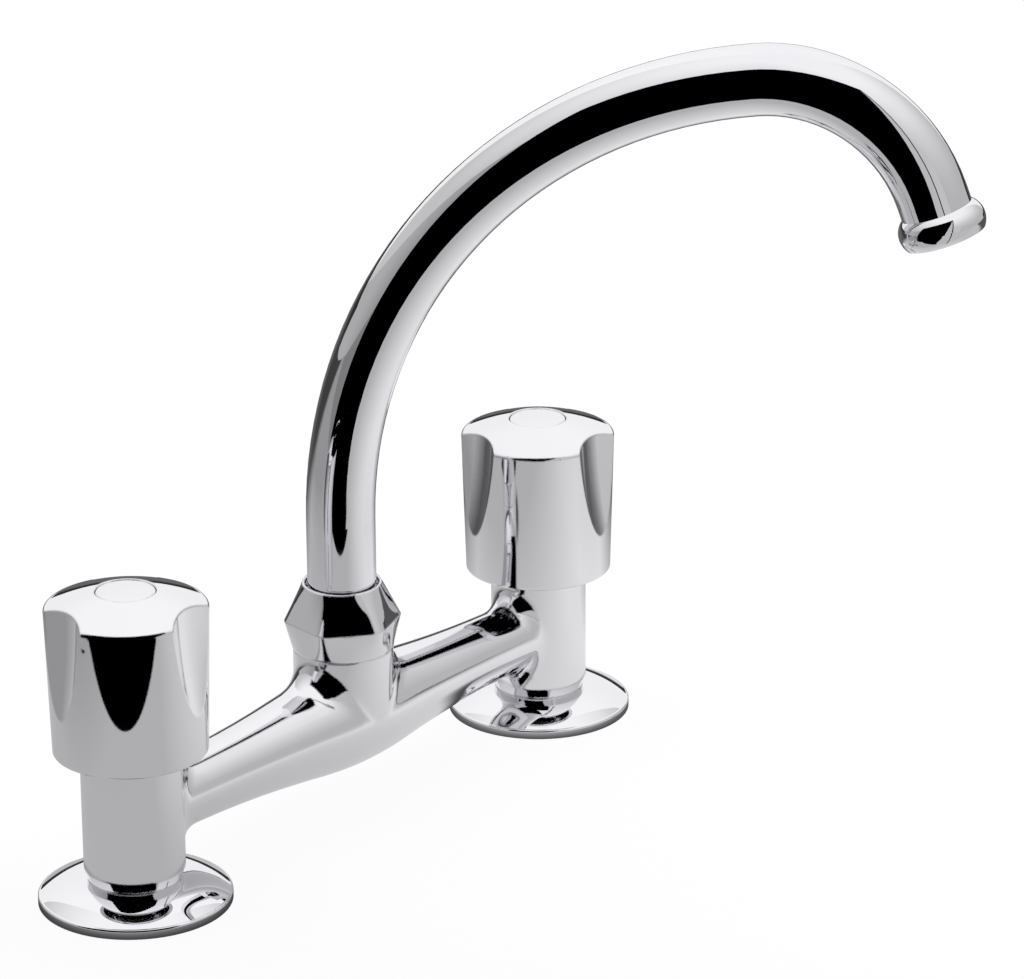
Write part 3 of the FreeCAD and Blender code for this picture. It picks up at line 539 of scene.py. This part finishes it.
@dataclass
class DeckFixing(SubAssembly):
    """Flange above the deck, tail and clamping set below it.

    Attributes:
        side: which leg it holds.
        crest: radius over the thread of the tail.
        root: radius at the bottom of the thread.
        pitch: rise of the thread in one turn.
        crest_flat: share of half a turn's rise that the flat of the crest takes up.
        flank: share of half a turn's rise that the thread's slope takes up.
        thread_top: height where the cut thread ends, inside the leg.
        bore: radius of the waterway.
        low: height of the tail's free end.
        high: height of its upper end.
        bevel: width of the bevel at both ends.
        relief: heights between which a plain groove is turned, under the backnut.
        relief_radius: radius in that groove.
        relief_edge: half the height in which the groove's side falls.
        crease: angle between two faces from which their edge stays sharp.
        columns: steps round the tail.
        rows: steps of height in one turn of the thread.
    """

    side: Side
    crest: float = 10.48 * MM
    root: float = 9.32 * MM
    pitch: float = 1.814 * MM
    crest_flat: float = 0.15
    flank: float = 0.7
    thread_top: float = 8.0 * MM
    bore: float = 7.0 * MM
    low: float = -62.0 * MM
    high: float = 19.3 * MM
    bevel: float = 1.0 * MM
    relief: Span = (-34.7 * MM, -33.2 * MM)
    relief_radius: float = 9.58 * MM
    relief_edge: float = 0.01 * MM
    crease: float = 38.0
    columns: int = 48
    rows: int = 6

    def radius_at(self, around: float, height: float) -> float:
        """Radius of the tail's outside.

        Args:
            around: angle about the tail, in radians.
            height: height above the deck.

        Returns:
            The radius, following the thread, the groove and the bevels.
        """
        if self.relief[0] < height < self.relief[1]:
            return self.relief_radius
        share = 0.0
        if height < self.thread_top:
            turns = height / self.pitch - around / TURN
            from_crest = abs(2.0 * (turns % 1.0) - 1.0)
            share = min(max((from_crest - self.crest_flat) / self.flank, 0.0), 1.0)
        threaded = self.crest - (self.crest - self.root) * share
        from_end = min(height - self.low, self.high - height)
        bevelled = self.crest - max(self.bevel - from_end, 0.0)
        return min(threaded, bevelled)

    def heights(self) -> list[float]:
        """Heights of the rows of points up the tail's outside.

        Returns:
            The heights, from the lowest.
        """
        step = self.pitch / self.rows
        count = int((self.thread_top - self.low) / step)
        edge = self.relief_edge
        marks = [self.low + step * index for index in range(count + 1)]
        marks += [groove_end + shift for groove_end in self.relief for shift in (-edge, edge)]
        marks += [self.thread_top, self.high - self.bevel, self.high]
        return sorted(marks)

    def threaded_tail(self) -> bpy.types.Object:
        """Build the supply tail with its cut thread.

        Returns:
            The tail, which stands in for the plain solid.
        """
        angles = [TURN * column / self.columns for column in range(self.columns)]
        rings = [
            [(self.radius_at(angle, height), angle, height) for angle in angles]
            for height in self.heights()
        ]
        rings += [[(self.bore, angle, end) for angle in angles] for end in (self.high, self.low)]
        points = [
            (self.side.x + radius * math.cos(angle), radius * math.sin(angle), height)
            for ring in rings
            for radius, angle, height in ring
        ]
        return self.piece("threaded_tail", points, tube_faces(len(rings), self.columns))

    def piece(
        self, name: str, points: list[Triple], faces: list[tuple[int, ...]]
    ) -> bpy.types.Object:
        """Make a mesh piece of this leg.

        Args:
            name: name of the piece, without its side.
            points: its points.
            faces: its faces, as indices into the points.

        Returns:
            The piece, riding on the tap's body.
        """
        mesh = bpy.data.meshes.new(self.side.node(name))
        mesh.from_pydata(points, [], faces)
        mesh.shade_smooth()
        mesh.set_sharp_from_angle(angle=math.radians(self.crease))
        made = bpy.data.objects.new(self.side.node(name), mesh)
        bpy.context.scene.collection.objects.link(made)
        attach(made, "mixer_body")
        log.info("built %s", made.name)
        return made

    def build(self) -> None:
        """Dress the fixing of one leg and cut the thread on its tail."""
        node = self.side.node
        tail = self.threaded_tail()
        tail.data.materials.append(self.palette.get(Finishes.BRASS))
        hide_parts(node("supply_tail"))
        self.dress([node("flange")], Finishes.CHROME)
        self.dress([node("supply_tail"), node("backnut")], Finishes.BRASS)
        self.dress([node("clamp_washer")], Finishes.ZINC)
        self.dress([node("deck_washer"), node("flange_seal")], Finishes.RUBBER)


@dataclass
class Valve(SubAssembly):
    """Headwork and handle of one leg.

    Attributes:
        side: which leg it stands on.
    """

    side: Side

    def build(self) -> None:
        """Dress the handle, its screw and the working pieces."""
        node = self.side.node
        self.dress([node("handle"), node("index_button")], Finishes.SOFT_CHROME)
        self.dress([node("handle_screw"), node("circlip")], Finishes.ZINC)
        brass = ("bonnet", "spindle", "plunger", "washer_screw")
        self.dress([node(name) for name in brass], Finishes.BRASS)
        self.dress([node("spindle_ring"), node("seat_washer")], Finishes.RUBBER)
        self.dress([node("bonnet_washer")], Finishes.FIBRE)


# ---------------------------------------------------------------- camera and studio


@dataclass
class PhotoCamera:
    """The camera at the photograph's viewing angle.

    Attributes:
        target: point that the camera's axis passes through.
        azimuth: degrees round from straight in front, negative to the left.
        elevation: degrees above the horizon.
        roll: degrees of roll about the axis.
        distance: from the target to the camera.
        lens_mm: focal length, in millimetres.
        sensor_mm: width of the sensor, in millimetres.
        clip: nearest and farthest distance that it sees.
    """

    target: Triple = (0.08635, 0.0, 0.08213)
    azimuth: float = -50.4
    elevation: float = 20.56
    roll: float = -0.38
    distance: float = 1.74122
    lens_mm: float = 183.3
    sensor_mm: float = 36.0
    clip: Span = (0.01, 50.0)

    def back(self) -> Vector:
        """Direction from the target to the camera.

        Returns:
            The direction, one metre long.
        """
        turn = math.radians(self.azimuth)
        rise = math.radians(self.elevation)
        level = math.cos(rise)
        return Vector((math.sin(turn) * level, -math.cos(turn) * level, math.sin(rise)))

    def build(self) -> None:
        """Add the camera and make it the scene's own."""
        back = self.back()
        right = (-back).cross(UP).normalized()
        up = right.cross(-back)
        roll = math.radians(self.roll)
        side = right * math.cos(roll) + up * math.sin(roll)
        top = -right * math.sin(roll) + up * math.cos(roll)
        data = bpy.data.cameras.new("photo_camera")
        data.sensor_fit = "HORIZONTAL"
        data.sensor_width = self.sensor_mm
        data.lens = self.lens_mm
        data.clip_start, data.clip_end = self.clip
        camera = bpy.data.objects.new("photo_camera", data)
        place = Matrix((side, top, back)).transposed().to_4x4()
        place.translation = Vector(self.target) + back * self.distance
        camera.matrix_world = place
        bpy.context.scene.collection.objects.link(camera)
        bpy.context.scene.camera = camera


@dataclass(frozen=True)
class Fade:
    """A straight change of brightness across the studio.

    Attributes:
        first: brightness where it starts.
        last: brightness where it ends.
        start: distance from the tap where it starts.
        end: distance where it ends.
        along: direction that it runs in.
    """

    first: float
    last: float
    start: float = 0.0
    end: float = 1.0
    along: Triple = (0.0, 0.0, 1.0)

    def build(self, tree: NodeTree) -> bpy.types.NodeSocket:
        """Add the fade to a material.

        Args:
            tree: the material's nodes.

        Returns:
            The brightness.
        """
        place = tree.add("ShaderNodeTexCoord")
        reach = tree.add("ShaderNodeVectorMath", operation="DOT_PRODUCT")
        reach.inputs[1].default_value = self.along
        tree.join(place.outputs["Object"], reach.inputs[0])
        ends = (self.start, self.end)
        return tree.spread(reach.outputs["Value"], ends, (self.first, self.last))


@dataclass(frozen=True)
class Screen:
    """One upright curved screen, its edges given in degrees above the table.

    Attributes:
        name: name of the screen.
        span: degrees around at which it starts and ends.
        bottom: its lower edge.
        top: its upper edge, at the pivot.
        fade: its brightness.
        share: how far it stands off, as a share of the room.
        pivot: degrees around where the upper edge is measured.
        slope: rise of the upper edge in each degree around.
        sag: fall of the upper edge, for the square of the degrees from the pivot.
    """

    name: str
    span: Span
    bottom: float
    top: float
    fade: Fade
    share: float
    pivot: float = 0.0
    slope: float = 0.0
    sag: float = 0.0

    def top_at(self, around: float) -> float:
        """Upper edge at a place around, in degrees above the table."""
        away = around - self.pivot
        return self.top + self.slope * away - self.sag * away**2


@dataclass(frozen=True)
class Lamp:
    """One large soft lamp, which the chrome doesn't mirror.

    Attributes:
        name: name of the lamp.
        around: degrees from the camera's direction.
        above: degrees above the table.
        distance: how far it hangs from the tap.
        width: side of its square face.
        power: its power, in watts.
    """

    name: str
    around: float
    above: float
    distance: float
    width: float
    power: float


@dataclass
class Studio:
    """White table with a straight front edge, dark room behind the camera, pale screens.

    Directions are degrees round from the camera's own direction, positive anticlockwise from
    above, and degrees above the table.

    Attributes:
        facing: direction of the camera from the tap, in degrees from +X.
        table_front: distance from the tap to the table's front edge.
        table_turn: how far the front edge is turned from square to the camera.
        table_reach: how far the table runs the other ways.
        table_drop: how far the table lies under the deck, clear of the flanges.
        ground_start: distance from the tap where the ground starts, under the table.
        ground_drop: how far the ground lies under the deck.
        room: distance of the farthest screen.
        dark_left: degrees around of the dark room's left edge.
        dark_right: degrees around of the dark ground's right edge, where the slope begins.
        slope_right: degrees around of the right edges of the slope and the dark room.
        paper_glow: share of plain white in the table as the camera sees it.
        contact_span: distances from a leg's axis where the painted contact shadow on the mirrored
            table starts and ends.
        contact_dark: share of light left where it starts.
        sky_span: heights of the sky, 1 being straight up, where it starts and ends to brighten.
        sky_glow: its brightness at these two heights.
    """

    facing: float = -139.0
    table_front: float = 0.240
    table_turn: float = -3.5
    table_reach: float = 3.0
    table_drop: float = 0.1 * MM
    ground_start: float = 0.2
    ground_drop: float = 20.0 * MM
    room: float = 2.6
    dark_left: float = -57.0
    dark_right: float = 23.0
    slope_right: float = 48.0
    paper_glow: float = 0.92
    painted_contact_shadow_span: Span = (30.5 * MM, 42.0 * MM)
    painted_contact_shadow_dark: float = 0.12
    sky_span: Span = (0.35, 0.92)
    sky_glow: Span = (0.64, 1.08)

    def direction(self, around: float, above: float = 0.0) -> Vector:
        """Unit vector towards a place in the studio.

        Args:
            around: degrees from the camera's direction.
            above: degrees above the table.

        Returns:
            The direction.
        """
        turn = math.radians(self.facing + around)
        rise = math.radians(above)
        level = math.cos(rise)
        return Vector((math.cos(turn) * level, math.sin(turn) * level, math.sin(rise)))

    def fade(self, around: float, **ends: float) -> Fade:
        """A change of brightness towards a place in the studio.

        Args:
            around: degrees from the camera's direction.
            ends: the fade's brightness and distance at its two ends.

        Returns:
            The fade.
        """
        return Fade(along=tuple(self.direction(around)), **ends)

    def glow(self, name: str, fade: Fade) -> bpy.types.Material:
        """A plain glowing material for a screen.

        Args:
            name: name of the material.
            fade: its brightness.

        Returns:
            The material.
        """
        tree = NodeTree(bpy.data.materials.new(name))
        glow = tree.add("ShaderNodeEmission")
        tree.join(fade.build(tree), glow.inputs["Color"])
        return tree.output(glow.outputs["Emission"])

    def panel(
        self, name: str, corners: Sequence[Vector], material: bpy.types.Material, seen: bool = False
    ) -> bpy.types.Object:
        """Add one flat or folded sheet to the stage.

        Args:
            name: name of the sheet.
            corners: its outline, two rows of equal length joined by quads.
            material: what it is made of.
            seen: whether the camera sees it.

        Returns:
            The sheet.
        """
        half = len(corners) // 2
        faces = [(step, step + 1, half + step + 1, half + step) for step in range(half - 1)]
        mesh = bpy.data.meshes.new(name)
        mesh.from_pydata([tuple(corner) for corner in corners], [], faces)
        sheet = bpy.data.objects.new(name, mesh)
        mesh.materials.append(material)
        sheet.visible_camera = seen
        bpy.context.scene.collection.objects.link(sheet)
        return sheet

    def painted_contact_shadow(self, tree: NodeTree) -> bpy.types.NodeSocket:
        """Painted contact shadow: soft darkening of the mirrored table close to the two flanges.

        Args:
            tree: the table's nodes.

        Returns:
            The share of light that is left.
        """
        place = tree.add("ShaderNodeTexCoord")
        distances = []
        for side in Side:
            away = tree.add("ShaderNodeVectorMath", operation="DISTANCE")
            away.inputs[1].default_value = (side.x, 0.0, 0.0)
            tree.join(place.outputs["Object"], away.inputs[0])
            distances.append(away.outputs["Value"])
        nearest = tree.combine("MINIMUM", *distances)
        return tree.spread(nearest, self.painted_contact_shadow_span, (self.painted_contact_shadow_dark, 1.0), "SMOOTHSTEP")

    def mirrored_table(self, tree: NodeTree) -> bpy.types.NodeSocket:
        """Brightness of the table as the chrome mirrors it, with painted shade falling off on all
        four sides.

        Args:
            tree: the table's nodes.

        Returns:
            The brightness.
        """
        # Painted light and shade on the mirrored table: each fade darkens or lightens it along one
        # direction from the tap.
        painted_fades = (
            self.fade(130.0, first=0.51, last=0.88, start=-0.08, end=0.16),
            self.fade(180.0, first=1.0, last=0.16, start=0.12, end=0.27),
            self.fade(-70.0, first=1.0, last=0.68, start=0.20, end=0.36),
            self.fade(90.0, first=1.0, last=0.7, start=0.20, end=0.42),
        )
        # Start from the painted contact shadow close to the flanges.
        level = self.painted_contact_shadow(tree)
        for fade in painted_fades:
            level = tree.combine("MULTIPLY", level, fade.build(tree))
        return level

    def table_material(self) -> bpy.types.Material:
        """White paper that shows white to the camera, keeps a soft shadow, and mirrors grey with
        painted shade in it.

        From below it is clear, so that the fixings under the deck can be seen.

        Returns:
            The material.
        """
        tree = NodeTree(bpy.data.materials.new("white_table"))
        paper = tree.add("ShaderNodeBsdfDiffuse")
        paper.inputs["Color"].default_value = PAPER
        white = tree.add("ShaderNodeEmission")
        white.inputs["Color"].default_value = WHITE
        # Glow that the chrome mirrors, carrying the painted shade and the painted contact shadow.
        mirrored = tree.add("ShaderNodeEmission")
        tree.join(self.mirrored_table(tree), mirrored.inputs["Color"])
        clear = tree.add("ShaderNodeBsdfTransparent")
        face = tree.add("ShaderNodeNewGeometry")
        ray = tree.add("ShaderNodeLightPath").outputs
        direct = tree.add("ShaderNodeMath", operation="MULTIPLY")
        direct.inputs[1].default_value = self.paper_glow
        tree.join(ray["Is Camera Ray"], direct.inputs[0])
        by_mirror = tree.combine("MAXIMUM", ray["Is Glossy Ray"], ray["Is Transmission Ray"])
        seen = tree.mix(direct.outputs["Value"], paper.outputs["BSDF"], white.outputs["Emission"])
        above = tree.mix(by_mirror, seen, mirrored.outputs["Emission"])
        return tree.output(tree.mix(face.outputs["Backfacing"], above, clear.outputs["BSDF"]))

    def table(self) -> None:
        """Lay the table, its front edge square to a line a little off the camera's."""
        front = self.direction(self.table_turn)
        near = front * self.table_front
        far = front * -self.table_reach
        wide = UP.cross(front) * self.table_reach
        drop = UP * -self.table_drop
        corners = [end + sideways + drop for sideways in (-wide, wide) for end in (near, far)]
        sheet = self.panel("table", corners, self.table_material(), seen=True)
        if sheet.data.polygons[0].normal.z < 0.0:
            sheet.data.flip_normals()

    def lay_ground(self, name: str, span: Span, level: float) -> None:
        """Lay a piece of the ground beyond the table's front edge.

        Args:
            name: name of the piece of ground.
            span: degrees around at which it starts and ends.
            level: its brightness.
        """
        drop = UP * -self.ground_drop
        ways = [self.direction(around) for around in spaced(span, GROUND_STEPS)]
        near = [way * self.ground_start + drop for way in ways]
        far = [way * self.room + drop for way in ways]
        self.panel(name, near + far, self.glow(name, Fade(level, level)))

    def stand(self, screen: Screen) -> None:
        """Stand one screen in its place.

        Args:
            screen: the screen.
        """
        distance = self.room * screen.share
        low, high = [], []
        for around in spaced(screen.span, SCREEN_STEPS):
            foot = self.direction(around) * distance
            top = screen.top_at(around)
            low.append(foot + UP * (distance * math.tan(math.radians(screen.bottom))))
            high.append(foot + UP * (distance * math.tan(math.radians(top))))
        self.panel(screen.name, low + high, self.glow(screen.name, screen.fade))

    def grounds(self) -> None:
        """Lay the dark ground in front of the table and the paler ground on both sides of it."""
        self.lay_ground("dark_ground", (self.dark_left, self.dark_right), 0.0)
        self.lay_ground("right_ground", (self.dark_right, 86.0), 0.58)
        self.lay_ground("left_ground", (-93.0, self.dark_left), 0.24)

    def screens(self) -> None:
        """Stand the dark room, the pale side screens, the white back and the strip under it."""
        plan = (
            Screen(
                name="dark_room",
                span=(self.dark_left, self.slope_right),
                bottom=-2.0,
                top=61.6,
                sag=5.5 / self.dark_left**2,
                fade=Fade(first=0.0, last=0.0),
                share=0.127,
            ),
            Screen(
                name="left_screen",
                span=(-165.0, self.dark_left),
                bottom=-4.0,
                top=30.0,
                pivot=self.dark_left,
                slope=0.31,
                fade=self.fade(-130.0, first=0.33, last=0.48, start=0.8, end=2.2),
                share=1.0,
            ),
            Screen(
                name="right_slope",
                span=(self.dark_right, self.slope_right),
                bottom=-2.0,
                top=5.0,
                pivot=self.dark_right,
                slope=2.1,
                fade=Fade(first=0.55, last=0.60, start=0.0, end=0.3),
                share=0.12,
            ),
            Screen(
                name="right_screen",
                span=(44.0, 160.0),
                bottom=-4.0,
                top=46.0,
                fade=Fade(first=0.55, last=0.92, start=0.5, end=2.3),
                share=0.88,
            ),
            Screen(
                name="far_strip",
                span=(125.0, 235.0),
                bottom=-22.0,
                top=6.0,
                fade=Fade(first=0.07, last=0.015, start=-0.1, end=0.2),
                share=0.8,
            ),
            Screen(
                name="white_back",
                span=(140.0, 220.0),
                bottom=5.9,
                top=72.0,
                fade=Fade(first=1.0, last=1.1, start=0.3, end=2.0),
                share=0.82,
            ),
        )
        for screen in plan:
            self.stand(screen)

    def hang(self, lamp: Lamp) -> None:
        """Hang one lamp, facing the tap.

        Args:
            lamp: the lamp.
        """
        data = bpy.data.lights.new(lamp.name, "AREA")
        data.shape = "SQUARE"
        data.size = lamp.width
        data.energy = lamp.power
        hung = bpy.data.objects.new(lamp.name, data)
        where = self.direction(lamp.around, lamp.above) * lamp.distance
        hung.location = where
        hung.rotation_euler = where.to_track_quat("Z", "Y").to_euler()
        hung.visible_glossy = False
        bpy.context.scene.collection.objects.link(hung)

    def lamps(self) -> None:
        """Hang the lamp over the tap and the two on its sides."""
        side_lamp = {"distance": 1.8, "width": 1.6}
        plan = (
            Lamp("overhead_lamp", around=20.0, above=80.0, distance=1.6, width=2.2, power=16.0),
            Lamp("right_lamp", around=95.0, above=48.0, power=8.0, **side_lamp),
            Lamp("left_lamp", around=-110.0, above=52.0, power=5.0, **side_lamp),
        )
        for lamp in plan:
            self.hang(lamp)

    def world(self) -> None:
        """White to the camera, and a soft sky that brightens overhead to everything else."""
        world = bpy.data.worlds.new("studio_world")
        bpy.context.scene.world = world
        tree = NodeTree(world)
        place = tree.add("ShaderNodeTexCoord")
        split = tree.add("ShaderNodeSeparateXYZ")
        tree.join(place.outputs["Generated"], split.inputs["Vector"])
        sky = tree.add("ShaderNodeBackground")
        level = tree.spread(split.outputs["Z"], self.sky_span, self.sky_glow)
        tree.join(level, sky.inputs["Color"])
        plain = tree.add("ShaderNodeBackground")
        plain.inputs["Color"].default_value = WHITE
        direct = tree.add("ShaderNodeLightPath").outputs["Is Camera Ray"]
        both = tree.mix(direct, sky.outputs["Background"], plain.outputs["Background"])
        tree.output(both, "ShaderNodeOutputWorld")

    def build(self) -> None:
        """Set up the whole studio."""
        self.table()
        self.grounds()
        self.screens()
        self.lamps()
        self.world()
        bpy.context.scene.view_settings.view_transform = "Standard"


# ---------------------------------------------------------------- the tap


def main() -> None:
    """Dress the tap, add its fine parts and light it."""
    logging.basicConfig(level=logging.INFO, format="%(name)s: %(message)s")
    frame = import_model()
    PhotoCamera().build()
    Studio().build()
    palette = Palette()
    Bridge(frame, palette).build()
    Spout(frame, palette).build()
    for side in Side:
        DeckFixing(frame, palette, side).build()
        Valve(frame, palette, side).build()


if __name__ == "__main__":
    main()
